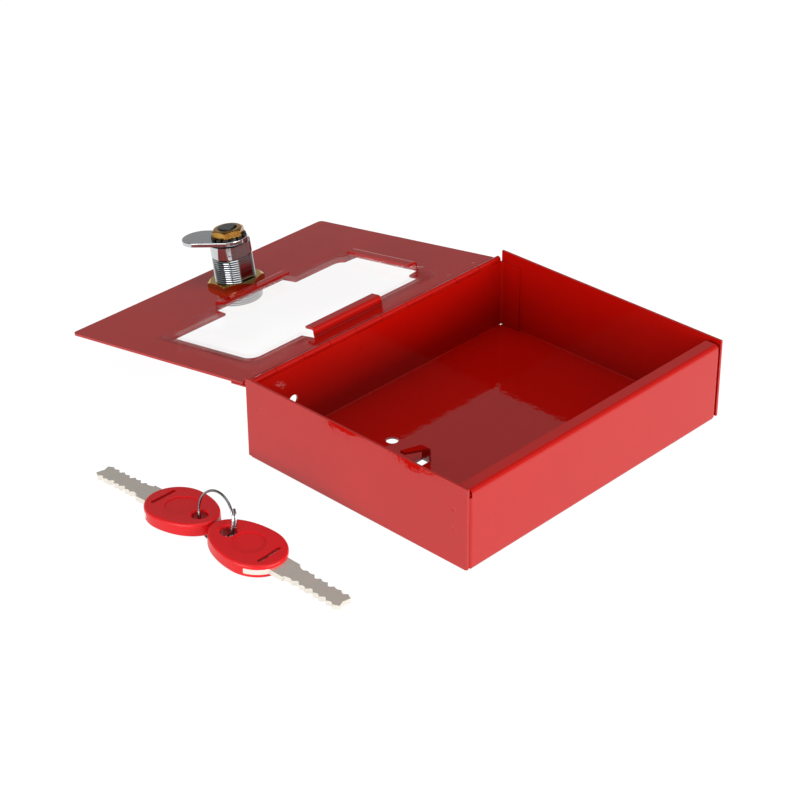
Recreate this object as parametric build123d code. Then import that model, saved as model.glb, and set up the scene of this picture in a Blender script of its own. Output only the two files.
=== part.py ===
from build123d import *
import math
import os

os.makedirs("parts", exist_ok=True)

# Break glass key box, lid open, with its two keys beside it on a split ring.
# Millimetres and degrees. The origin is the centre of the back plate's outer face:
# X runs along the hinge, +Y points at the hinge, +Z points out of the back plate.

# ---------------------------------------------------------------- driving dimensions
# Box, folded from one blank of sheet steel
box_length = 152.0
box_width = 117.5
box_depth = 36.3
sheet = 1.0
plate_bend = 1.5
corner_bend = 2.0
corner_relief = 1.2
hinge_wall_height = 31.7
lock_wall_height = 35.0
lip_depth = 6.2
lip_bend = 2.0
lip_end_gap = 1.6
tab_width = 11.0
tab_height = 31.75

# Holes and key hook in the box
wall_hole_radius = 2.6
wall_hole_spacing = 50.0
wall_hole_x = -28.8
side_hole_radius = 2.5
side_hole_x = -51.7
side_hole_z = 16.2
hook_x = -30.4
hook_y = 5.1
hook_width = 4.0
hook_tip_width = 2.4
hook_rise = 6.2
hook_arm = 13.6
hook_arm_angle = 15.0
hook_inner_bend = 0.9
hook_foot_bend = 1.6

# Spot weld marks
weld_radius = 0.9
weld_depth = 0.12
tab_weld_inset = 7.0
tab_weld_heights = (16.5, 25.0)
leaf_weld_distance = 6.7
leaf_weld_places = (-65.0, -50.0, -12.8, 12.4, 49.8, 65.2)

# Hinge: two rolled leaves on a plain pin
pin_radius = 0.6
pin_clearance = 0.05
leaf_sheet = 0.7
leaf_width = 9.5
leaf_setback = 1.55
hinge_length = 148.6
first_knuckle = 15.2
knuckle_pitch = 15.0
knuckle_gap = 0.2
curl_gap = 0.3

# Lid
lid_end_gap = 1.0
lid_rest_gap = 0.1
lid_lip_gap = 0.6
lid_hinge_margin = 2.7
lid_corner = 2.0
lid_droop = 9.75

# Window in the lid and the folded clips that hold the pane
window_near_x = -56.7
window_far_x = 41.2
window_hinge_edge = 16.3
window_lock_edge = 65.6
window_corner_near = 5.0
window_corner_far = 3.5
hinge_clip_root = 9.3
hinge_clip_ends = (-27.5, 11.5)
lock_clip_root = 72.9
lock_clip_ends = (-26.0, 13.0)
far_clip_root = 47.9
far_clip_ends = (23.5, 61.5)
clip_flange = 5.3
clip_outer_bend = 1.6
clip_inner_bend = 0.6
clip_notch_gap = 0.4
clip_notch_slant = 0.9
pane_thickness = 2.5
pane_slack = 0.5
pane_side_gap = 0.2
pane_near_margin = 3.8

# Cam lock
lock_x = 0.6
lock_from_edge = 22.55
head_base_radius = 11.6
head_front_radius = 10.6
head_height = 6.6
head_round = 1.2
body_radius = 9.0
body_flats = 16.0
body_length = 19.0
body_clearance = 0.2
thread_pitch = 1.0
thread_depth = 0.55
thread_top = 13.8
notch_width = 1.2
notch_height = 2.8
notch_angle = -136.0
mount_nut_flats = 22.0
mount_nut_thickness = 2.6
mount_nut_turn = 24.5
mount_nut_chamfer = 1.6
plug_radius = 6.0
plug_clearance = 0.06
plug_face_radius = 7.2
plug_face_thickness = 1.6
plug_end = 17.8
keyway_end = 17.4
keyway_clearance = 0.15
ward_width = 1.2
ward_height = 0.4
stud_radius = 4.25
stud_flats = 7.1
stud_end = 26.0
stud_clearance = 0.05
stud_chamfer = 0.4
wafer_count = 5
wafer_pitch = 2.6
wafer_first = -4.0
wafer_thickness = 0.8
wafer_width = 6.0
wafer_length = 10.0
wafer_clearance = 0.1
wafer_spring_radius = 0.5
wafer_spring_length = 3.0
wafer_spring_offset = 4.1
retainer_height = 14.6
retainer_length = 13.0
groove_clearance = 0.2
stop_washer_thickness = 1.5
stop_lug_radius = 7.1
stop_lug_angle = 40.0
stop_play = 1.0
cam_travel = 90.0
cam_thickness = 2.0
cam_width = 16.3
cam_catch = 0.84
cam_rest_turn = 26.0
cam_round = 0.35
tooth_washer_radius = 7.75
tooth_washer_thickness = 1.0
tooth_count = 14
tooth_depth = 1.5
tooth_gap = 1.1
cam_nut_flats = 12.7
cam_nut_thickness = 3.2
cam_nut_turn = 12.0
cam_nut_chamfer = 1.4

# Keys: nickel silver blades moulded into oval plastic heads
key_thickness = 2.2
key_tip_reach = 58.7
key_shoulder_reach = 32.3
key_shoulder_width = 10.0
key_blade_width = 8.4
key_groove_width = 2.6
key_groove_depth = 0.7
key_groove_offset = 0.5
key_tip_taper = 1.2
key_tip_chamfer = 0.6
key_fork_depth = 0.9
key_shoulder_root = 2.0
key_first_cut = 2.6
cut_pitch = 3.3
cut_flat = 0.7
cut_depths_right = (0.9, 0.5, 1.4, 0.8, 1.5, 0.6, 1.1)
cut_depths_left = (0.6, 1.3, 0.7, 1.5, 0.9, 1.3, 0.8)
bow_start = 18.5
bow_tongue_start = 6.0
bow_tongue_width = 12.0
head_thickness = 5.6
head_ring_end = 7.6
head_wide_place = 13.0
head_blade_end = 26.8
head_half_width = 12.3
head_edge_round = 1.0
ring_hole_radius = 3.25
ring_hole_chamfer = 0.6
disc_margin = 0.15
disc_radius = 6.6
disc_depth = 0.35
slit_place = 21.0
slit_length = 12.6
slit_width = 1.8

# Where the keys lie, and the split ring through them
key_droop = 4.0
key_1_hole = (-124.7, 33.1)
key_1_turn = 89.5
key_2_hole = (-124.8, 17.4)
key_2_turn = -86.8
ring_radius = 9.75
ring_wire = 1.0
ring_turn_pitch = 1.45
ring_lean = 13.7
ring_start = 52.0
ring_sweep = 515.0

# ---------------------------------------------------------------- derived places
half_length = box_length / 2
half_width = box_width / 2
inner_half_length = half_length - sheet

barrel_radius = pin_radius + pin_clearance + leaf_sheet
hinge_y = half_width + barrel_radius
hinge_z = tab_height + lid_rest_gap + sheet + leaf_sheet - barrel_radius
lid_inner_rise = leaf_sheet + sheet - barrel_radius

lip_edge_y = -(half_width - lip_depth)
lid_reach = hinge_y - lip_edge_y - lid_lip_gap
lid_half_length = inner_half_length - lid_end_gap
lock_reach = lid_reach - lock_from_edge

flange_height = pane_thickness + pane_slack
plug_front = -sheet - head_height
cam_seat = plug_end + stop_washer_thickness
cam_top = cam_seat + cam_thickness
washer_top = cam_top + tooth_washer_thickness
catch_radius = math.hypot(hinge_y - lip_edge_y, lock_wall_height - hinge_z) + cam_catch
cam_reach = math.sqrt(catch_radius**2 - (cam_top + lid_inner_rise) ** 2) - lock_reach
cam_centres = cam_reach - cam_width / 2

disc_place = ring_hole_radius + ring_hole_chamfer + disc_margin + disc_radius
key_rise = key_tip_reach * math.sin(math.radians(key_droop)) + key_thickness / 2

# Lid frame: x along the hinge, y from the hinge axis to the free edge, z = height above
# the lid's inner face. It is hung from the hinge axis at the angle the open lid has.
hinge_axis = Pos(0, hinge_y, hinge_z)
lid_frame = hinge_axis * Rot(-lid_droop, 0, 0) * Pos(0, 0, lid_inner_rise)
lock_frame = lid_frame * Pos(lock_x, lock_reach, 0)
core_frame = lock_frame * Rot(0, 0, cam_rest_turn)


# ---------------------------------------------------------------- shared shapes
def folded_section(points, radii):
    """Face of a folded sheet. The points run along the face that has the sheet on its left."""
    line = FilletPolyline(*points, radius=radii)
    return make_face(offset(line, sheet, side=Side.LEFT))


def upright_prism(section, bottom, top):
    """Section drawn in X and Y, carried from one height to another."""
    return Pos(0, 0, bottom) * extrude(section, top - bottom)


def disc(radius, bottom, top):
    """Round bar on the Z axis between two heights."""
    return upright_prism(Circle(radius), bottom, top)


def block(x_range, y_range, z_range):
    """Rectangular bar between three pairs of limits."""
    sizes = [high - low for low, high in (x_range, y_range, z_range)]
    middle = [(low + high) / 2 for low, high in (x_range, y_range, z_range)]
    return Pos(*middle) * Box(*sizes)


def weld_mark(radius=weld_radius, depth=weld_depth):
    """Shallow dimple that a spot weld leaves, cut downwards from the XY plane."""
    ball = (radius**2 + depth**2) / (2 * depth)
    return Pos(0, 0, ball - depth) * Sphere(ball) & disc(radius, -depth, depth)


def flatted(radius, flats):
    """Round section with two flats, one on each side in Y."""
    return Circle(radius) & Rectangle(3 * radius, flats)


def hex_nut(flats, thickness, bore, turn, chamfer_size):
    """Hexagon nut standing on the XY plane, its upper corners turned to a cone."""
    corner_radius = flats / 2 / math.cos(math.radians(30))
    hexagon = RegularPolygon(radius=corner_radius, side_count=6, rotation=turn)
    turned = Cylinder(corner_radius, thickness, align=(Align.CENTER, Align.CENTER, Align.MIN))
    top_edge = turned.edges().sort_by(Axis.Z)[-1]
    drop = chamfer_size * math.tan(math.radians(30))
    turned = chamfer(top_edge, length=drop, length2=chamfer_size)
    nut = extrude(hexagon, thickness) & turned
    return nut - disc(bore, -thickness, 2 * thickness)


# ---------------------------------------------------------------- box
def hook_profile():
    """Side view of the hook in X and Z: up from the plate, then bent over towards -X."""
    slope = math.radians(hook_arm_angle)
    tip = (hook_x - hook_arm * math.cos(slope), hook_rise + hook_arm * math.sin(slope))
    root = (hook_x + 2 * hook_foot_bend, 0)
    points = [tip, (hook_x, hook_rise), (hook_x, 0), root]
    return folded_section(points, [hook_inner_bend, hook_foot_bend])


def hook_plan(root_x, taper_x, tip_x):
    """Plan of the strip: full width from its root, then narrower up to its tip."""
    root_half = hook_width / 2
    tip_half = hook_tip_width / 2
    right = [(root_x, root_half), (taper_x, root_half), (tip_x, tip_half)]
    left = [(x, -y) for x, y in reversed(right)]
    return Pos(0, hook_y) * make_face(Polyline(*right, *left, close=True))


def hook_strip():
    """Lanced hook, standing on the edge of the slot that its own sheet left."""
    strip = Pos(0, hook_y + hook_width / 2, 0) * extrude(Plane.XZ * hook_profile(), hook_width)
    bend_room = sheet + hook_inner_bend
    plan = hook_plan(hook_x + 3 * hook_foot_bend, hook_x - bend_room, hook_x - hook_arm)
    return strip & upright_prism(plan, -sheet, box_depth)


def make_box_shell():
    """Back plate, four walls, inward lip and corner tabs of one folded blank."""
    straight = inner_half_length - corner_bend
    long_walls = folded_section(
        [
            (lip_edge_y, lock_wall_height),
            (-half_width, lock_wall_height),
            (-half_width, 0),
            (half_width, 0),
            (half_width, hinge_wall_height),
        ],
        [lip_bend, plate_bend, plate_bend],
    )
    shell = Pos(-straight, 0, 0) * extrude(Plane.YZ * long_walls, 2 * straight)

    end_walls = folded_section(
        [
            (-half_length, corner_relief + sheet),
            (-half_length, 0),
            (half_length, 0),
            (half_length, corner_relief + sheet),
        ],
        plate_bend,
    )
    plate_half_width = half_width - plate_bend
    shell += Pos(0, plate_half_width, 0) * extrude(Plane.XZ * end_walls, 2 * plate_half_width)

    # The lip runs on past the bends, over the corner tabs.
    lip_half_length = inner_half_length - lip_end_gap
    lip_body = folded_section(
        [
            (lip_edge_y, lock_wall_height),
            (-half_width, lock_wall_height),
            (-half_width, tab_height),
        ],
        lip_bend,
    )
    shell += Pos(-lip_half_length, 0, 0) * extrude(Plane.YZ * lip_body, 2 * lip_half_length)

    tab = folded_section(
        [
            (inner_half_length, half_width - tab_width),
            (inner_half_length, half_width),
            (straight - sheet, half_width),
        ],
        corner_bend,
    )
    for end in (-1, 1):
        wall_x = sorted((end * inner_half_length, end * half_length))
        shell += block(wall_x, (-half_width, half_width), (corner_relief, box_depth))
        for side in (-1, 1):
            corner = tab if end == 1 else mirror(tab, about=Plane.YZ)
            corner = corner if side == 1 else mirror(corner, about=Plane.XZ)
            shell += upright_prism(corner, corner_relief, tab_height)

    slot_start = hook_x + sheet - hook_foot_bend + sheet
    slot = hook_plan(slot_start, hook_x - hook_rise, hook_x - hook_rise - hook_arm)
    shell -= upright_prism(slot, -sheet, 2 * sheet)
    shell += hook_strip()

    for y in (-wall_hole_spacing / 2, wall_hole_spacing / 2):
        shell -= Pos(wall_hole_x, y, 0) * disc(wall_hole_radius, -sheet, 2 * sheet)
    side_hole = Cylinder(side_hole_radius, 4 * sheet)
    shell -= Pos(side_hole_x, half_width, side_hole_z) * Rot(90, 0, 0) * side_hole

    for side in (-1, 1):
        for z in tab_weld_heights:
            y = side * (half_width - tab_weld_inset)
            shell -= Pos(half_length, y, z) * Rot(0, 90, 0) * weld_mark()
            shell -= Pos(-half_length, y, z) * Rot(0, -90, 0) * weld_mark()
    weld_z = hinge_z - leaf_weld_distance - sheet
    for x in leaf_weld_places:
        shell -= Pos(x, half_width - sheet, weld_z) * Rot(90, 0, 0) * weld_mark()
    return shell


# ---------------------------------------------------------------- hinge
def knuckle_spans():
    """Ends of every knuckle along the hinge, from the -X end."""
    start = -hinge_length / 2
    seams = [start, start + first_knuckle]
    while seams[-1] + knuckle_pitch < hinge_length / 2 - knuckle_pitch / 4:
        seams.append(seams[-1] + knuckle_pitch)
    seams.append(hinge_length / 2)
    return list(zip(seams[:-1], seams[1:]))


def rolled_leaf(first):
    """Leaf with the pin's axis on X. It reaches along +Y, on the -Z side of the pin."""
    half = hinge_length / 2
    leaf = block((-half, half), (leaf_setback, leaf_width), (-barrel_radius, leaf_sheet - barrel_radius))
    bore = barrel_radius - leaf_sheet
    for number, (low, high) in enumerate(knuckle_spans()):
        if number % 2 != first:
            continue
        span = (low + knuckle_gap / 2, high - knuckle_gap / 2)
        curl = Circle(barrel_radius) - Circle(bore)
        curl -= Pos(barrel_radius, curl_gap / 2 - bore) * Rectangle(2 * barrel_radius, curl_gap)
        root = Pos(leaf_setback / 2, leaf_sheet / 2 - barrel_radius) * Rectangle(leaf_setback, leaf_sheet)
        section = Plane.YZ * (curl + root)
        leaf += Pos(span[0], 0, 0) * extrude(section, span[1] - span[0])
    return leaf


def make_hinge_pin():
    pin = Cylinder(pin_radius, hinge_length)
    pin = chamfer(pin.edges().filter_by(GeomType.CIRCLE), pin_radius / 4)
    return hinge_axis * Rot(0, 90, 0) * pin


# ---------------------------------------------------------------- lid
def clip_strip(length):
    """Clip of the lid's sheet: up from the plate at y = 0, then over the pane along +Y."""
    section = folded_section(
        [
            (-clip_outer_bend, -sheet),
            (sheet, -sheet),
            (sheet, flange_height),
            (clip_flange, flange_height),
        ],
        [clip_outer_bend, clip_inner_bend],
    )
    return Pos(-length / 2, 0, 0) * extrude(Plane.YZ * section, length)


def notch(length, depth):
    """Opening that a clip's sheet leaves, from the clip's root to the window's edge."""
    root = length / 2 + clip_notch_gap
    mouth = root + clip_notch_slant
    start = sheet - clip_outer_bend
    return Polygon((-root, start), (root, start), (mouth, depth), (-mouth, depth), align=None)


def window_outline():
    """Window between its four edges, two of its corners rounded."""
    middle = ((window_near_x + window_far_x) / 2, (window_hinge_edge + window_lock_edge) / 2)
    window = Pos(*middle) * Rectangle(
        window_far_x - window_near_x, window_lock_edge - window_hinge_edge
    )
    near = window.vertices().sort_by(lambda v: v.X + v.Y)[0]
    window = fillet(near, window_corner_near)
    far = window.vertices().sort_by(lambda v: v.X + v.Y)[-1]
    return fillet(far, window_corner_far)


def clip_places():
    """Each clip's frame, its length, and how far its root lies from the window's edge."""
    hinge_x = sum(hinge_clip_ends) / 2
    lock_x_middle = sum(lock_clip_ends) / 2
    far_y = sum(far_clip_ends) / 2
    return [
        (
            Pos(hinge_x, hinge_clip_root, 0),
            hinge_clip_ends[1] - hinge_clip_ends[0],
            window_hinge_edge - hinge_clip_root,
        ),
        (
            Pos(lock_x_middle, lock_clip_root, 0) * Rot(0, 0, 180),
            lock_clip_ends[1] - lock_clip_ends[0],
            lock_clip_root - window_lock_edge,
        ),
        (
            Pos(far_clip_root, far_y, 0) * Rot(0, 0, 90),
            far_clip_ends[1] - far_clip_ends[0],
            far_clip_root - window_far_x,
        ),
    ]


def make_lid_panel():
    """Lid sheet with its window, the three clips folded from it and the lock's hole."""
    middle_y = (lid_hinge_margin + lid_reach) / 2
    outline = Pos(0, middle_y) * Rectangle(2 * lid_half_length, lid_reach - lid_hinge_margin)
    outline = fillet(outline.vertices().sort_by(Axis.Y)[-2:], lid_corner)
    outline -= window_outline()
    for place, length, depth in clip_places():
        outline -= place * notch(length, depth + sheet)
    lock_hole = flatted(body_radius + body_clearance, body_flats + 2 * body_clearance)
    outline -= Pos(lock_x, lock_reach) * lock_hole
    lid = upright_prism(outline, -sheet, 0)
    for place, length, depth in clip_places():
        lid += place * clip_strip(length)
    for x in leaf_weld_places:
        lid -= Pos(x, leaf_weld_distance, 0) * weld_mark()
    return lid_frame * lid


def make_pane():
    """Pane on the lid's inner face, slid in under the clips from the near end."""
    x_range = (window_near_x - pane_near_margin, far_clip_root - sheet - pane_side_gap)
    y_range = (hinge_clip_root + sheet + pane_side_gap, lock_clip_root - sheet - pane_side_gap)
    return lid_frame * block(x_range, y_range, (0, pane_thickness))


# ---------------------------------------------------------------- lock, fixed pieces
def threaded_bar(radius, depth, pitch, bottom, top):
    """Bar whose side is cut to V-shaped ridges, one every pitch."""
    turns = int((top - bottom) / pitch)
    points = [(0, bottom), (radius - depth, bottom)]
    for turn in range(turns):
        base = bottom + turn * pitch
        points += [(radius, base + pitch / 2), (radius - depth, base + pitch)]
    points += [(radius - depth, top), (0, top)]
    profile = make_face(Polyline(*points, close=True))
    return revolve(Plane.XZ * profile, Axis.Z)


def stop_recess():
    """Arc in the housing's end in which the stop washer's lug turns."""
    reach = stop_lug_radius + plug_clearance
    half = cam_travel / 2 + stop_lug_angle / 2 + stop_play
    return sector(reach, cam_travel / 2 - 90, half)


def sector(radius, direction, half_angle):
    """Pie slice of a circle about a direction, both in degrees."""
    angles = [direction - half_angle, direction, direction + half_angle]
    ends = [
        (radius * math.cos(math.radians(a)), radius * math.sin(math.radians(a))) for a in angles
    ]
    arc = ThreePointArc(*ends)
    return make_face(Curve() + [arc, Line((0, 0), ends[0]), Line(ends[2], (0, 0))])


def make_lock_housing():
    """Head on the lid's outer face, flatted and threaded body through the lid, plug bore."""
    head = Pos(0, 0, -sheet - head_height / 2) * Cone(head_front_radius, head_base_radius, head_height)
    head = fillet(head.edges().sort_by(Axis.Z)[0], head_round)
    body = threaded_bar(body_radius, thread_depth, thread_pitch, -sheet, thread_top)
    body += disc(body_radius, thread_top, body_length)
    body &= upright_prism(flatted(body_radius, body_flats), -sheet, body_length)
    housing = head + body

    turn = math.radians(notch_angle)
    notch_place = Pos(body_radius * math.cos(turn), body_radius * math.sin(turn), 0)
    notch_z = (thread_top + body_length - notch_height) / 2
    notch_half = notch_width / 2
    cutter = block((-notch_half, notch_half), (-notch_half, notch_half), (0, notch_height))
    housing -= notch_place * Pos(0, 0, notch_z) * Rot(0, 0, notch_angle) * cutter

    bore = plug_radius + plug_clearance
    face_bore = plug_face_radius + plug_clearance
    housing -= disc(bore, plug_front - sheet, body_length + sheet)
    housing -= disc(face_bore, plug_front - sheet, plug_front + plug_face_thickness + plug_clearance)
    groove_half = wafer_width / 2 + wafer_clearance
    groove_reach = plug_radius + wafer_thickness
    groove_top = wafer_first + wafer_count * wafer_pitch
    housing -= block(
        (-groove_half, groove_half),
        (-groove_reach, groove_reach),
        (plug_front + plug_face_thickness + sheet, groove_top),
    )
    retainer_reach = retainer_length / 2 + groove_clearance
    housing -= disc(
        retainer_reach,
        retainer_height - wafer_thickness / 2 - groove_clearance,
        retainer_height + wafer_thickness / 2 + groove_clearance,
    )
    housing -= upright_prism(stop_recess(), plug_end - groove_clearance, body_length + sheet)
    return lock_frame * housing


def make_mounting_nut():
    nut = hex_nut(
        mount_nut_flats,
        mount_nut_thickness,
        body_radius + plug_clearance,
        mount_nut_turn,
        mount_nut_chamfer,
    )
    return lock_frame * nut


# ---------------------------------------------------------------- lock, turning pieces
def keyway():
    """Slot for the blade, with a ridge that fits the groove along the blade."""
    width = key_thickness + 2 * keyway_clearance
    length = key_blade_width + 2 * keyway_clearance
    slot = Rectangle(width, length)
    ridge_x = width / 2 - ward_height / 2
    return slot - Pos(ridge_x, key_groove_offset) * Rectangle(ward_height, ward_width)


def wafer_heights():
    return [wafer_first + number * wafer_pitch for number in range(wafer_count)]


def make_plug():
    """Round core with the keyway, wafer slots, spring pockets and the flatted cam stud."""
    plug = disc(plug_face_radius, plug_front, plug_front + plug_face_thickness)
    plug += disc(plug_radius, plug_front, plug_end)
    stud = upright_prism(flatted(stud_radius, stud_flats), plug_end - sheet, stud_end)
    stud = chamfer(stud.faces().sort_by(Axis.Z)[-1].edges(), stud_chamfer)
    plug += stud
    plug -= upright_prism(keyway(), plug_front - sheet, keyway_end)
    slot_x = wafer_width / 2 + wafer_clearance
    half = wafer_thickness / 2 + wafer_clearance
    for z in wafer_heights() + [retainer_height]:
        plug -= block((-slot_x, slot_x), (-plug_radius, plug_radius), (z - half, z + half))
    pocket = wafer_spring_radius + wafer_clearance
    for z in wafer_heights():
        spring_room = Cylinder(pocket, wafer_spring_length + 2 * wafer_clearance)
        plug -= Pos(wafer_spring_offset, 0, z) * Rot(90, 0, 0) * spring_room
    return core_frame * plug


def wafer(length):
    """Flat plate with the hole that the key passes through."""
    plate = Rectangle(wafer_width, length) & Circle(max(length / 2, plug_radius))
    key_hole = Rectangle(
        key_thickness + 4 * keyway_clearance, key_blade_width + 4 * keyway_clearance
    )
    return Pos(0, 0, -wafer_thickness / 2) * extrude(plate - key_hole, wafer_thickness)


def make_wafers():
    return core_frame * Compound([Pos(0, 0, z) * wafer(wafer_length) for z in wafer_heights()])


def make_wafer_springs():
    spring = Rot(90, 0, 0) * Cylinder(wafer_spring_radius, wafer_spring_length)
    springs = [Pos(wafer_spring_offset, 0, z) * spring for z in wafer_heights()]
    return core_frame * Compound(springs)


def make_retainer():
    return core_frame * Pos(0, 0, retainer_height) * wafer(retainer_length)


def stud_hole():
    return flatted(stud_radius + stud_clearance, stud_flats + 2 * stud_clearance)


def make_stop_washer():
    lug = sector(stop_lug_radius, -90, stop_lug_angle / 2)
    washer = Circle(plug_radius) + lug - stud_hole()
    return core_frame * upright_prism(washer, plug_end, cam_seat)


def make_cam():
    """Flat locking arm, round at both ends."""
    arm = Pos(0, cam_centres / 2) * Rot(0, 0, 90) * SlotCenterToCenter(cam_centres, cam_width)
    cam = upright_prism(arm, cam_seat, cam_top)
    rims = cam.faces().sort_by(Axis.Z)[0].edges() + cam.faces().sort_by(Axis.Z)[-1].edges()
    cam = fillet(rims, cam_round)
    return core_frame * (cam - upright_prism(stud_hole(), cam_seat - sheet, cam_top + sheet))


def make_tooth_washer():
    """Star washer: notches round its rim leave the teeth."""
    ring = Circle(tooth_washer_radius) - Circle(stud_radius + stud_clearance)
    for number in range(tooth_count):
        gap = Pos(tooth_washer_radius, 0) * Rectangle(2 * tooth_depth, tooth_gap)
        ring -= Rot(0, 0, 360 / tooth_count * number) * gap
    return core_frame * upright_prism(ring, cam_top, washer_top)


def make_cam_nut():
    nut = hex_nut(
        cam_nut_flats,
        cam_nut_thickness,
        stud_radius + stud_clearance,
        cam_nut_turn,
        cam_nut_chamfer,
    )
    return core_frame * Pos(0, 0, washer_top) * nut


# ---------------------------------------------------------------- keys
# Key frame: the ring hole's centre is the origin, x runs to the tip, z is up.
def head_outline():
    """Egg-shaped outline of two half ellipses that meet at the widest place."""
    centre = (head_wide_place, 0)
    ring_half = EllipticalCenterArc(
        centre, head_wide_place + head_ring_end, head_half_width, start_angle=90, arc_size=180
    )
    blade_half = EllipticalCenterArc(
        centre, head_blade_end - head_wide_place, head_half_width, start_angle=270, arc_size=180
    )
    return make_face(Curve() + [ring_half, blade_half])


def bow_outline():
    """Metal inside the head: a tongue, and a plate that runs out past the head's sides."""
    tongue = bow_tongue_width / 2
    plate = head_half_width + 2 * sheet
    end = head_blade_end + 2 * sheet
    side = [(bow_tongue_start, tongue), (bow_start, tongue), (bow_start, plate), (end, plate)]
    other = [(x, -y) for x, y in reversed(side)]
    return make_face(Polyline(*side, *other, close=True))


def cut_edge(depths, side):
    """Points along one cut edge of the blade, from the shoulder to the tip."""
    points = []
    x = key_shoulder_reach + key_first_cut
    for depth in depths:
        y = key_blade_width / 2 - depth
        points.append((x - cut_flat / 2, side * y))
        points.append((x + cut_flat / 2, side * y))
        crest = min(key_blade_width / 2, y + (cut_pitch - cut_flat) / 2)
        points.append((x + cut_pitch / 2, side * crest))
        x += cut_pitch
    return points


def blade_outline():
    """Shoulder and cut blade, from inside the head to the forked tip."""
    shoulder = key_shoulder_width / 2
    edge = key_blade_width / 2
    tip_x = key_tip_reach
    tip_half = edge - key_tip_taper
    start = head_blade_end - key_shoulder_root
    right = [(start, shoulder), (key_shoulder_reach, shoulder), (key_shoulder_reach, edge)]
    right += [p for p in cut_edge(cut_depths_right, 1) if p[0] < tip_x - key_tip_taper]
    right += [(tip_x - key_tip_taper, edge - key_tip_chamfer), (tip_x, tip_half)]
    left = [(start, -shoulder), (key_shoulder_reach, -shoulder), (key_shoulder_reach, -edge)]
    left += [p for p in cut_edge(cut_depths_left, -1) if p[0] < tip_x - key_tip_taper]
    left += [(tip_x - key_tip_taper, key_tip_chamfer - edge), (tip_x, -tip_half)]
    fork = [(tip_x - key_fork_depth, -key_groove_offset)]
    return make_face(Polyline(*right, *fork, *reversed(left), close=True))


def make_key_blade(place):
    """Bow, shoulder and blade, with a V groove along the upper and the lower face."""
    half = key_thickness / 2
    bow = bow_outline() & head_outline()
    blade = upright_prism(bow, -half, half) + upright_prism(blade_outline(), -half, half)
    groove = Polygon(
        (-key_groove_width / 2, 0),
        (key_groove_width / 2, 0),
        (0, -key_groove_depth),
        align=None,
    )
    length = key_tip_reach - head_blade_end + 2 * sheet
    cutter = Pos(head_blade_end - sheet, 0, 0) * extrude(Plane.YZ * groove, length)
    blade -= Pos(0, -key_groove_offset, half) * cutter
    blade -= Pos(0, key_groove_offset, -half) * Rot(180, 0, 0) * cutter
    return place * blade


def make_key_head(place):
    """Plastic head round the bow: ring hole, bare disc and slit on both faces."""
    half = head_thickness / 2
    head = upright_prism(head_outline(), -half, half)
    rims = head.faces().sort_by(Axis.Z)[0].edges() + head.faces().sort_by(Axis.Z)[-1].edges()
    head = fillet(rims, head_edge_round)
    head -= upright_prism(bow_outline(), -key_thickness / 2, key_thickness / 2)
    head -= disc(ring_hole_radius, -head_thickness, head_thickness)
    flare = Cone(ring_hole_radius, ring_hole_radius + 2 * ring_hole_chamfer, 2 * ring_hole_chamfer)
    slit = Pos(slit_place, 0) * Rot(0, 0, 90) * SlotOverall(slit_length, slit_width)
    for turn in (0, 180):
        face = Rot(turn, 0, 0)
        head -= face * Pos(0, 0, half) * flare
        head -= face * Pos(disc_place, 0, 0) * disc(disc_radius, half - disc_depth, half + sheet)
        head -= face * upright_prism(slit, 0, head_thickness)
    return place * head


def key_place(hole, turn):
    """Frame of a key lying with its tip on the ground and its ring end raised."""
    return Pos(hole[0], hole[1], key_rise) * Rot(0, 0, turn) * Rot(0, key_droop, 0)


# ---------------------------------------------------------------- split ring
def ring_frame():
    """Centre and axes of the ring: it stands in the two ring holes and leans towards +X."""
    middle_x = (key_1_hole[0] + key_2_hole[0]) / 2
    middle_y = (key_1_hole[1] + key_2_hole[1]) / 2
    lean = math.radians(ring_lean)
    bottom = ring_wire / 2 + ring_turn_pitch / 2 * math.sin(lean)
    rise = bottom + ring_radius * math.cos(lean)
    shift = (rise - key_rise) * math.tan(lean)
    return Pos(middle_x + shift, middle_y, rise) * Rot(0, ring_lean, 0)


def ring_point(angle):
    """Point of the coil: angle 0 is its top and it turns towards -Y, climbing along -X."""
    turn = math.radians(angle)
    climb = ring_turn_pitch * ((angle - ring_start) / 360 - (ring_sweep - 360) / 720 - 0.5)
    return Vector(-climb, -ring_radius * math.sin(turn), ring_radius * math.cos(turn))


def ring_direction(angle):
    """Direction of the wire at that angle."""
    turn = math.radians(angle)
    slope = ring_turn_pitch / math.radians(360)
    along = Vector(-slope, -ring_radius * math.cos(turn), -ring_radius * math.sin(turn))
    return along.normalized()


def biarc(start, start_direction, end, end_direction):
    """Two arcs that join two points and are tangent to a direction at each of them."""
    across = end - start
    both = start_direction + end_direction
    spread = 2 * (1 - start_direction.dot(end_direction))
    reach = across.dot(both)
    length = (math.sqrt(reach**2 + spread * across.dot(across)) - reach) / spread
    joint = (start + end + (start_direction - end_direction) * length) / 2
    first = TangentArc(start, joint, tangent=start_direction)
    return [first, TangentArc(joint, end, tangent=first % 1)]


def ring_line():
    """Centre line of the wire, in biarcs of about a quarter turn."""
    steps = math.ceil(ring_sweep / 90)
    angles = [ring_start + ring_sweep * step / steps for step in range(steps + 1)]
    arcs = []
    for low, high in zip(angles[:-1], angles[1:]):
        arcs += biarc(ring_point(low), ring_direction(low), ring_point(high), ring_direction(high))
    return Wire([edge for arc in arcs for edge in arc.edges()])


def least_self_gap(line):
    """Least gap between the wire's turns, over points more than half a turn apart."""
    count = 240
    points = [line @ (number / count) for number in range(count + 1)]
    apart = int(count * 180 / ring_sweep)
    distances = [
        (points[low] - points[high]).length
        for low in range(count + 1)
        for high in range(low + apart, count + 1)
    ]
    return min(distances) - ring_wire


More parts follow.
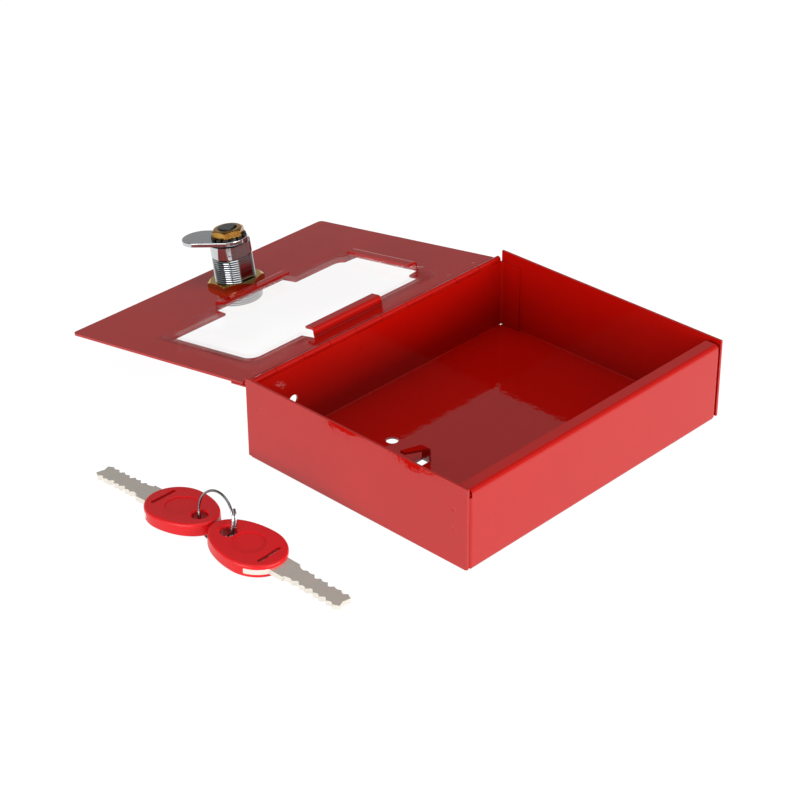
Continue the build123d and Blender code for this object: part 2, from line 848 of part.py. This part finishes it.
def make_split_ring():
    line = ring_line()
    print("split ring: least gap between turns", round(least_self_gap(line), 3), "mm")
    section = Plane(line @ 0, z_dir=line % 0) * Circle(ring_wire / 2)
    return ring_frame() * sweep(section, path=line)


# ---------------------------------------------------------------- all pieces
key_1_place = key_place(key_1_hole, key_1_turn)
key_2_place = key_place(key_2_hole, key_2_turn)

pieces = {
    "box_shell": make_box_shell(),
    "hinge_leaf_box": hinge_axis * Rot(-90, 0, 0) * rolled_leaf(1),
    "hinge_pin": make_hinge_pin(),
    "lid_panel": make_lid_panel(),
    "hinge_leaf_lid": hinge_axis * Rot(-lid_droop, 0, 0) * rolled_leaf(0),
    "glass_pane": make_pane(),
    "lock_housing": make_lock_housing(),
    "lock_mounting_nut": make_mounting_nut(),
    "lock_plug": make_plug(),
    "lock_wafers": make_wafers(),
    "wafer_springs": make_wafer_springs(),
    "plug_retainer": make_retainer(),
    "stop_washer": make_stop_washer(),
    "lock_cam": make_cam(),
    "toothed_washer": make_tooth_washer(),
    "cam_nut": make_cam_nut(),
    "split_ring": make_split_ring(),
    "key_1_blade": make_key_blade(key_1_place),
    "key_1_head": make_key_head(key_1_place),
    "key_2_blade": make_key_blade(key_2_place),
    "key_2_head": make_key_head(key_2_place),
}

for name, piece in pieces.items():
    export_step(piece, f"parts/{name}.step")
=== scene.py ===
import math

import bpy
from mathutils import Matrix, Vector

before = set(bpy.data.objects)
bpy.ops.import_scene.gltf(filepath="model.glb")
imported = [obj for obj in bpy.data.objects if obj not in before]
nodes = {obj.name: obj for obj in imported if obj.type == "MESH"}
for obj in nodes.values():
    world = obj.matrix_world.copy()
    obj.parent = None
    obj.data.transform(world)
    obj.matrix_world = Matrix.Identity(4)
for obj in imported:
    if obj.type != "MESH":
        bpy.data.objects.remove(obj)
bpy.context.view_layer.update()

MM = 0.001

# ------------------------------------------------------------------ box shell
# The real box is one blank of 1 mm steel sheet: four folded walls, a lip along the lock
# wall, corner tabs spot welded inside, and a key hook pushed up out of the back plate.
# It is stoved in glossy red enamel, sprayed on, so every face has a light orange peel.


def linear(hex_colour):
    """sRGB hex to the linear colour that a shader socket takes."""
    channels = [int(hex_colour[i : i + 2], 16) / 255 for i in (1, 3, 5)]
    return [c / 12.92 if c <= 0.04045 else ((c + 0.055) / 1.055) ** 2.4 for c in channels] + [1.0]


def add_node(tree, kind, sockets=(), **settings):
    """New shader node: its settings, then values or links for its input sockets."""
    node = tree.nodes.new("ShaderNode" + kind)
    for name, value in settings.items():
        setattr(node, name, value)
    for name, value in dict(sockets).items():
        if isinstance(value, bpy.types.NodeSocket):
            tree.links.new(value, node.inputs[name])
        else:
            node.inputs[name].default_value = value
    return node


def new_material(name):
    """Empty node material with its output, and the coordinates of the piece in metres."""
    material = bpy.data.materials.new(name)
    material.use_nodes = True
    tree = material.node_tree
    tree.nodes.clear()
    output = tree.nodes.new("ShaderNodeOutputMaterial")
    place = tree.nodes.new("ShaderNodeTexCoord").outputs["Object"]
    return material, tree, output, place


def dress(material, slot, *names):
    """Gives CAD nodes their material; the slot argument is not used."""
    for name in names:
        piece = nodes[name]
        piece.data.materials.clear()
        piece.data.materials.append(material)


def stoved_enamel():
    """Red stoving enamel, sprayed: a wet-looking clear film over a strong red."""
    material, tree, output, place = new_material("red_stoving_enamel_sprayed")
    peel_width = 1.7 * MM
    peel_height = 0.03 * MM
    ripple_width = 9.0 * MM
    ripple_height = 0.05 * MM
    nib_spacing = 13.0 * MM
    nib_radius = 0.16 * MM
    nib_height = 0.05 * MM
    film_patch_width = 28 * MM

    # Orange peel, about 1.7 mm from crest to crest, over the sheet's own slow ripple.
    ripple = add_node(tree, "TexNoise", {"Vector": place, "Scale": 1 / ripple_width, "Detail": 1.0})
    ripple_bump = add_node(tree, "Bump", {"Height": ripple.outputs["Fac"], "Distance": ripple_height})
    peel = add_node(tree, "TexNoise", {"Vector": place, "Scale": 1 / peel_width, "Detail": 1.5})
    peel_bump = add_node(
        tree,
        "Bump",
        {
            "Height": peel.outputs["Fac"],
            "Distance": peel_height,
            "Normal": ripple_bump.outputs["Normal"],
        },
    )
    # Dust nibs caught in the wet film: sparse round grains that catch the light.
    nibs = add_node(tree, "TexVoronoi", {"Vector": place, "Scale": 1 / nib_spacing, "Randomness": 1.0})
    grain = add_node(
        tree,
        "MapRange",
        {
            "Value": nibs.outputs["Distance"],
            "From Min": 0.0,
            "From Max": nib_radius / nib_spacing,
            "To Min": 1.0,
            "To Max": 0.0,
        },
    )
    nib_bump = add_node(
        tree,
        "Bump",
        {
            "Height": grain.outputs["Result"],
            "Distance": nib_height,
            "Normal": peel_bump.outputs["Normal"],
        },
    )
    # The film is a little thinner, so lighter, in some places than in others.
    patch = add_node(tree, "TexNoise", {"Vector": place, "Scale": 1 / film_patch_width, "Detail": 2.0})
    film = add_node(
        tree,
        "Mix",
        {
            "Factor": patch.outputs["Fac"],
            6: linear("#AA0A03"),
            7: linear("#B40C04"),
        },
        data_type="RGBA",
    )
    shader = add_node(
        tree,
        "BsdfPrincipled",
        {
            "Base Color": film.outputs[2],
            "Roughness": 0.3,
            "IOR": 1.45,
            "Specular IOR Level": 0.0,
            "Coat Weight": 1.0,
            "Coat Roughness": 0.03,
            "Coat IOR": 1.5,
            "Normal": peel_bump.outputs["Normal"],
            "Coat Normal": nib_bump.outputs["Normal"],
        },
    )
    tree.links.new(shader.outputs["BSDF"], output.inputs["Surface"])
    return material


enamel = stoved_enamel()
dress(enamel, "red_enamel", "box_shell")

# ------------------------------------------------------------------ hinge
# A piano hinge of two leaves rolled round a thin pin, one leaf welded outside the hinge wall
# and one under the lid. It was welded on before painting, so the enamel covers it all.
dress(enamel, "red_enamel", "hinge_leaf_box", "hinge_leaf_lid", "hinge_pin")

# ------------------------------------------------------------------ lid
# One sheet of the same steel, with a window punched in it. Three clips are folded up from
# the window's edges, and it has the same red enamel on both faces.
dress(enamel, "red_enamel", "lid_panel")

# ------------------------------------------------------------------ pane
# The glass that is broken to reach the key: a small clear sheet, cut and left with ground
# edges, slid in under the clips.


def clear_glass():
    """Soda-lime sheet glass, drawn mostly see-through: the real window looks quite empty."""
    material, tree, output, place = new_material("clear_soda_lime_glass_drawn")
    waviness = 24 * MM
    wave_height = 0.004 * MM
    waves = add_node(tree, "TexNoise", {"Vector": place, "Scale": 1 / waviness, "Detail": 0.0})
    bump = add_node(tree, "Bump", {"Height": waves.outputs["Fac"], "Distance": wave_height})
    shader = add_node(
        tree,
        "BsdfPrincipled",
        {
            "Base Color": linear("#FBFEFD"),
            "Roughness": 0.0,
            "IOR": 1.52,
            "Transmission Weight": 1.0,
            "Alpha": 0.08,
            "Normal": bump.outputs["Normal"],
        },
    )
    tree.links.new(shader.outputs["BSDF"], output.inputs["Surface"])
    return material


dress(clear_glass(), "clear_glass", "glass_pane")

# ------------------------------------------------------------------ lock housing and nut
# A cam lock: its zinc die-cast body, flatted on two sides and threaded, goes through the lid
# and is chromed. A yellow-passivated steel nut clamps it from inside.
lock_axis = Vector((0, 0.16935, 0.98556))
lock_origin = Vector((0.6, 148.3665, 17.3882)) * MM
thread_pitch = 1.0 * MM
thread_top = 13.8 * MM


def height_on_lock(tree, place):
    """Height of the shaded point along the lock's axis, in metres."""
    offset = add_node(tree, "VectorMath", {0: place, 1: lock_origin}, operation="SUBTRACT")
    along = add_node(
        tree, "VectorMath", {0: offset.outputs["Vector"], 1: lock_axis}, operation="DOT_PRODUCT"
    )
    return along.outputs["Value"]


def chrome_plate(name, threaded=False):
    """Bright chrome: nearly a mirror, with the flow of the casting or rolling left in it."""
    material, tree, output, place = new_material(name)
    flow_width = 3.0 * MM
    flow_height = 0.012 * MM
    flow = add_node(tree, "TexNoise", {"Vector": place, "Scale": 1 / flow_width, "Detail": 2.0})
    bump = add_node(tree, "Bump", {"Height": flow.outputs["Fac"], "Distance": flow_height})
    haze = add_node(
        tree,
        "MapRange",
        {"Value": flow.outputs["Fac"], "To Min": 0.05, "To Max": 0.12},
    )
    colour = linear("#C9CBCD")
    if threaded:
        # Painted shade in the roots of the thread, one dark line every turn.
        root_edge = 0.08
        flank_end = 0.3
        root_shade = 0.9
        height = height_on_lock(tree, place)
        turns = add_node(tree, "Math", {0: height, 1: thread_pitch}, operation="DIVIDE")
        off_root = add_node(tree, "Math", {0: turns.outputs["Value"], 1: 0.5}, operation="PINGPONG")
        root = add_node(
            tree,
            "MapRange",
            {
                "Value": off_root.outputs["Value"],
                "From Min": root_edge,
                "From Max": flank_end,
                "To Min": root_shade,
                "To Max": 0.0,
            },
        )
        below_top = add_node(tree, "Math", {0: height, 1: thread_top}, operation="LESS_THAN")
        shade = add_node(
            tree,
            "Math",
            {0: root.outputs["Result"], 1: below_top.outputs["Value"]},
            operation="MULTIPLY",
        )
        colour = add_node(
            tree,
            "Mix",
            {"Factor": shade.outputs["Value"], 6: colour, 7: linear("#2E3032")},
            data_type="RGBA",
        ).outputs[2]
    shader = add_node(
        tree,
        "BsdfPrincipled",
        {
            "Base Color": colour,
            "Metallic": 1.0,
            "Roughness": haze.outputs["Result"],
            "Normal": bump.outputs["Normal"],
        },
    )
    tree.links.new(shader.outputs["BSDF"], output.inputs["Surface"])
    return material


def yellow_passivate():
    """Zinc plate with a yellow passivate: gold, drifting to a rosy tint in places."""
    material, tree, output, place = new_material("yellow_passivated_zinc_plate")
    drift_width = 5.0 * MM
    drift = add_node(tree, "TexNoise", {"Vector": place, "Scale": 1 / drift_width, "Detail": 2.0})
    tint = add_node(
        tree,
        "Mix",
        {"Factor": drift.outputs["Fac"], 6: linear("#D9B25A"), 7: linear("#B98C4C")},
        data_type="RGBA",
    )
    shader = add_node(
        tree,
        "BsdfPrincipled",
        {"Base Color": tint.outputs[2], "Metallic": 1.0, "Roughness": 0.22},
    )
    tree.links.new(shader.outputs["BSDF"], output.inputs["Surface"])
    return material


threaded_chrome = chrome_plate("chrome_plate_on_zinc_casting", threaded=True)
dress(threaded_chrome, "chrome_plate", "lock_housing")
dress(yellow_passivate(), "yellow_zinc", "lock_mounting_nut")

# ------------------------------------------------------------------ plug, wafers and springs
# The plug is turned steel. Its key face is bright, and the stud at its other end, which
# carries the cam, is blackened. Brass wafers and small springs lie hidden inside it.


def blackened_steel(name, bright_below=None):
    """Turned steel, blackened, bare and bright below a height on the lock's axis if one is set."""
    material, tree, output, place = new_material(name)
    turning_width = 0.35 * MM
    turning_height = 0.006 * MM
    rings = add_node(tree, "TexNoise", {"Vector": place, "Scale": 1 / turning_width, "Detail": 1.0})
    bump = add_node(tree, "Bump", {"Height": rings.outputs["Fac"], "Distance": turning_height})
    colour = linear("#3B3C3C")
    if bright_below:
        height = height_on_lock(tree, place)
        blacked = add_node(tree, "Math", {0: height, 1: bright_below}, operation="GREATER_THAN")
        colour = add_node(
            tree,
            "Mix",
            {"Factor": blacked.outputs["Value"], 6: linear("#A9ABAA"), 7: colour},
            data_type="RGBA",
        ).outputs[2]
    shader = add_node(
        tree,
        "BsdfPrincipled",
        {
            "Base Color": colour,
            "Metallic": 1.0,
            "Roughness": 0.3,
            "Normal": bump.outputs["Normal"],
        },
    )
    tree.links.new(shader.outputs["BSDF"], output.inputs["Surface"])
    return material


def turned_brass():
    """Turned brass, bright at first and now a little browned by handling."""
    material, tree, output, place = new_material("turned_brass")
    stain_width = 3.5 * MM
    stain = add_node(tree, "TexNoise", {"Vector": place, "Scale": 1 / stain_width, "Detail": 3.0})
    tone = add_node(
        tree,
        "Mix",
        {"Factor": stain.outputs["Fac"], 6: linear("#CFA04E"), 7: linear("#94672F")},
        data_type="RGBA",
    )
    shader = add_node(
        tree,
        "BsdfPrincipled",
        {"Base Color": tone.outputs[2], "Metallic": 1.0, "Roughness": 0.2},
    )
    tree.links.new(shader.outputs["BSDF"], output.inputs["Surface"])
    return material


stud_start = 10 * MM
plug_steel = blackened_steel("turned_steel_black_stud", bright_below=stud_start)
brass = turned_brass()
dress(plug_steel, "lock_steel", "lock_plug", "wafer_springs")
dress(brass, "brass", "lock_wafers", "plug_retainer")

# ------------------------------------------------------------------ cam and its fixings
# The cam and the stop washer under it are stamped steel, chromed. A blackened star washer
# and a brass hexagon nut hold them on the stud.
dress(chrome_plate("chrome_plate_on_stamped_steel"), "chrome_plate", "stop_washer", "lock_cam")
dress(blackened_steel("blackened_spring_steel"), "dark_steel", "toothed_washer")
dress(brass, "brass", "cam_nut")

# ------------------------------------------------------------------ key blades
# Blades of nickel silver strip, stamped out, with cuts milled along both edges. The bow
# runs on inside the plastic head.


def nickel_silver():
    """Nickel silver strip, rolled along the blade: warm grey with fine lines along it."""
    material, tree, output, place = new_material("nickel_silver_strip_milled")
    line_width = 0.16 * MM
    line_length = 9.0 * MM
    line_height = 0.003 * MM
    # Rolling lines run along Y, the way both blades lie.
    stretched = add_node(
        tree,
        "Mapping",
        {"Vector": place, "Scale": (1 / line_width, 1 / line_length, 1 / line_width)},
    )
    lines = add_node(
        tree, "TexNoise", {"Vector": stretched.outputs["Vector"], "Scale": 1.0, "Detail": 2.0}
    )
    bump = add_node(tree, "Bump", {"Height": lines.outputs["Fac"], "Distance": line_height})
    tone = add_node(
        tree,
        "Mix",
        {"Factor": lines.outputs["Fac"], 6: linear("#D8D0C5"), 7: linear("#F2ECE2")},
        data_type="RGBA",
    )
    shader = add_node(
        tree,
        "BsdfPrincipled",
        {
            "Base Color": tone.outputs[2],
            "Metallic": 0.7,
            "Roughness": 0.26,
            "Normal": bump.outputs["Normal"],
        },
    )
    tree.links.new(shader.outputs["BSDF"], output.inputs["Surface"])
    return material


dress(nickel_silver(), "nickel_silver", "key_1_blade", "key_2_blade")

# ------------------------------------------------------------------ key heads
# Oval heads of red ABS moulded round the bow of each blade, with a plain round recess, a
# slit that shows the metal, and a hole for the ring.


def moulded_abs():
    """Red ABS, moulded in a polished tool: glossy, with slight sink and handling marks."""
    material, tree, output, place = new_material("red_abs_moulded")
    sink_width = 6.0 * MM
    sink_height = 0.03 * MM
    grain_width = 0.5 * MM
    grain_height = 0.004 * MM
    sink = add_node(tree, "TexNoise", {"Vector": place, "Scale": 1 / sink_width, "Detail": 1.0})
    sink_bump = add_node(tree, "Bump", {"Height": sink.outputs["Fac"], "Distance": sink_height})
    grain = add_node(tree, "TexNoise", {"Vector": place, "Scale": 1 / grain_width, "Detail": 2.0})
    grain_bump = add_node(
        tree,
        "Bump",
        {
            "Height": grain.outputs["Fac"],
            "Distance": grain_height,
            "Normal": sink_bump.outputs["Normal"],
        },
    )
    shader = add_node(
        tree,
        "BsdfPrincipled",
        {
            "Base Color": linear("#CE1218"),
            "Roughness": 0.35,
            "IOR": 1.53,
            "Specular IOR Level": 0.3,
            "Normal": grain_bump.outputs["Normal"],
        },
    )
    tree.links.new(shader.outputs["BSDF"], output.inputs["Surface"])
    return material


dress(moulded_abs(), "red_plastic", "key_1_head", "key_2_head")

# ------------------------------------------------------------------ split ring
# One length of 1 mm spring wire, coiled for about one and a half turns, and tumbled bright.


def drawn_wire():
    """Drawn steel wire: bright, with faint die lines that soften its reflections."""
    material, tree, output, place = new_material("drawn_steel_wire")
    mark_width = 0.4 * MM
    mark_height = 0.004 * MM
    marks = add_node(tree, "TexNoise", {"Vector": place, "Scale": 1 / mark_width, "Detail": 2.0})
    bump = add_node(tree, "Bump", {"Height": marks.outputs["Fac"], "Distance": mark_height})
    shader = add_node(
        tree,
        "BsdfPrincipled",
        {
            "Base Color": linear("#8F9292"),
            "Metallic": 1.0,
            "Roughness": 0.2,
            "Normal": bump.outputs["Normal"],
        },
    )
    tree.links.new(shader.outputs["BSDF"], output.inputs["Surface"])
    return material


dress(drawn_wire(), "ring_steel", "split_ring")

# ------------------------------------------------------------------ floor, light and camera
# The studio: a white floor and surround, soft light from low in front, from the left and
# from above, and a long lens.


def white_for_seen_rays(tree, seen, otherwise):
    """Mixes in what camera, glossy and transmission rays see, over what lights the piece."""
    rays = tree.nodes.new("ShaderNodeLightPath")
    direct = add_node(
        tree,
        "Math",
        {0: rays.outputs["Is Camera Ray"], 1: rays.outputs["Is Glossy Ray"]},
        operation="MAXIMUM",
    )
    shown = add_node(
        tree,
        "Math",
        {0: direct.outputs["Value"], 1: rays.outputs["Is Transmission Ray"]},
        operation="MAXIMUM",
    )
    return add_node(tree, "MixShader", {0: shown.outputs["Value"], 1: otherwise, 2: seen})


floor_half = 3.0
floor_mesh = bpy.data.meshes.new("floor")
floor_mesh.from_pydata(
    [
        (-floor_half, -floor_half, 0),
        (floor_half, -floor_half, 0),
        (floor_half, floor_half, 0),
        (-floor_half, floor_half, 0),
    ],
    [],
    [(0, 1, 2, 3)],
)
floor = bpy.data.objects.new("floor", floor_mesh)
bpy.context.scene.collection.objects.link(floor)

seen_glow = 0.965
paper, tree, output, _ = new_material("white_paper_floor")
matt = add_node(tree, "BsdfDiffuse", {"Color": linear("#EBEBEB")})
faint = add_node(tree, "BsdfDiffuse", {"Color": linear("#606060")})
glow = add_node(tree, "Emission", {"Color": linear("#FFFFFF"), "Strength": seen_glow})
shown = add_node(tree, "AddShader", {0: glow.outputs["Emission"], 1: faint.outputs["BSDF"]})
mixed = white_for_seen_rays(tree, shown.outputs["Shader"], matt.outputs["BSDF"])
tree.links.new(mixed.outputs["Shader"], output.inputs["Surface"])
floor_mesh.materials.append(paper)

world = bpy.data.worlds.new("white_surround")
bpy.context.scene.world = world
world.use_nodes = True
tree = world.node_tree
tree.nodes.clear()
# Seen directly the surround is white. In reflections it dims overhead and in three bands
# round the horizon, as a studio does, which gives the chrome its dark stripes.
direction = tree.nodes.new("ShaderNodeTexCoord").outputs["Generated"]
parts = add_node(tree, "SeparateXYZ", {0: direction})
overhead_glow = 0.32
ceiling_glow = 0.45
band_count = 3.0
band_glow = 0.6
fill_glow = 0.42
back_drop = add_node(
    tree,
    "MapRange",
    {
        "Value": parts.outputs["Z"],
        "From Min": 0.0,
        "From Max": 0.22,
        "To Min": 1.0,
        "To Max": overhead_glow,
    },
    interpolation_type="SMOOTHSTEP",
)
ceiling = add_node(
    tree,
    "MapRange",
    {
        "Value": parts.outputs["Z"],
        "From Min": 0.55,
        "From Max": 0.9,
        "To Min": 1.0,
        "To Max": ceiling_glow,
    },
    interpolation_type="SMOOTHSTEP",
)
overhead = add_node(
    tree,
    "Math",
    {0: back_drop.outputs["Result"], 1: ceiling.outputs["Result"]},
    operation="MULTIPLY",
)
around = add_node(tree, "Math", {0: parts.outputs["Y"], 1: parts.outputs["X"]}, operation="ARCTAN2")
bands = add_node(tree, "Math", {0: around.outputs["Value"], 1: band_count}, operation="MULTIPLY")
wave = add_node(tree, "Math", {0: bands.outputs["Value"]}, operation="COSINE")
between = add_node(
    tree,
    "MapRange",
    {
        "Value": wave.outputs["Value"],
        "From Min": -0.2,
        "From Max": 0.8,
        "To Min": 1.0,
        "To Max": band_glow,
    },
    interpolation_type="SMOOTHSTEP",
)
level_glow = add_node(
    tree,
    "Math",
    {0: overhead.outputs["Value"], 1: between.outputs["Result"]},
    operation="MULTIPLY",
)
rays = tree.nodes.new("ShaderNodeLightPath")
strength = add_node(
    tree,
    "Mix",
    {"Factor": rays.outputs["Is Glossy Ray"], "A": 1.0, "B": level_glow.outputs["Value"]},
    data_type="FLOAT",
)
surround = add_node(
    tree, "Background", {"Color": linear("#FFFFFF"), "Strength": strength.outputs[0]}
)
fill = add_node(tree, "Background", {"Color": linear("#FFFFFF"), "Strength": fill_glow})
mixed = white_for_seen_rays(tree, surround.outputs["Background"], fill.outputs["Background"])
output = tree.nodes.new("ShaderNodeOutputWorld")
tree.links.new(mixed.outputs["Shader"], output.inputs["Surface"])


def softbox(name, place, target, size, power):
    """Rectangular area lamp at a place, turned to a target."""
    lamp = bpy.data.lights.new(name, "AREA")
    lamp.shape = "RECTANGLE"
    lamp.size, lamp.size_y = size
    lamp.energy = power
    holder = bpy.data.objects.new(name, lamp)
    bpy.context.scene.collection.objects.link(holder)
    holder.location = place
    aim = Vector(target) - Vector(place)
    holder.rotation_euler = aim.to_track_quat("-Z", "Y").to_euler()


box_middle = (0, 0, 0.02)
softbox("front_softbox", (0.10, -1.40, 0.20), box_middle, (1.2, 0.34), 20)
softbox("left_softbox", (-1.40, -0.10, 0.20), box_middle, (1.0, 0.34), 13)
softbox("top_softbox", (-0.15, -0.10, 1.40), box_middle, (0.9, 0.9), 5)

camera_place = Vector((-584.636, -517.687, 480.815)) * MM
yaw, pitch, roll = -0.801614848, -0.535638982, -0.008191919
lens = 101.973
sensor = 36.0

forward = Vector(
    (-math.sin(yaw) * math.cos(pitch), math.cos(yaw) * math.cos(pitch), math.sin(pitch))
)
level = Vector((math.cos(yaw), math.sin(yaw), 0))
upright = level.cross(forward)
right = math.cos(roll) * level + math.sin(roll) * upright
up = math.cos(roll) * upright - math.sin(roll) * level

camera_data = bpy.data.cameras.new("camera")
camera_data.sensor_fit = "AUTO"
camera_data.sensor_width = sensor
camera_data.lens = lens
camera_data.clip_start = 0.05
camera_data.clip_end = 20
camera = bpy.data.objects.new("camera", camera_data)
bpy.context.scene.collection.objects.link(camera)
camera.matrix_world = Matrix.Translation(camera_place) @ Matrix((right, up, -forward)).transposed().to_4x4()
bpy.context.scene.camera = camera

bpy.context.scene.view_settings.view_transform = "Standard"
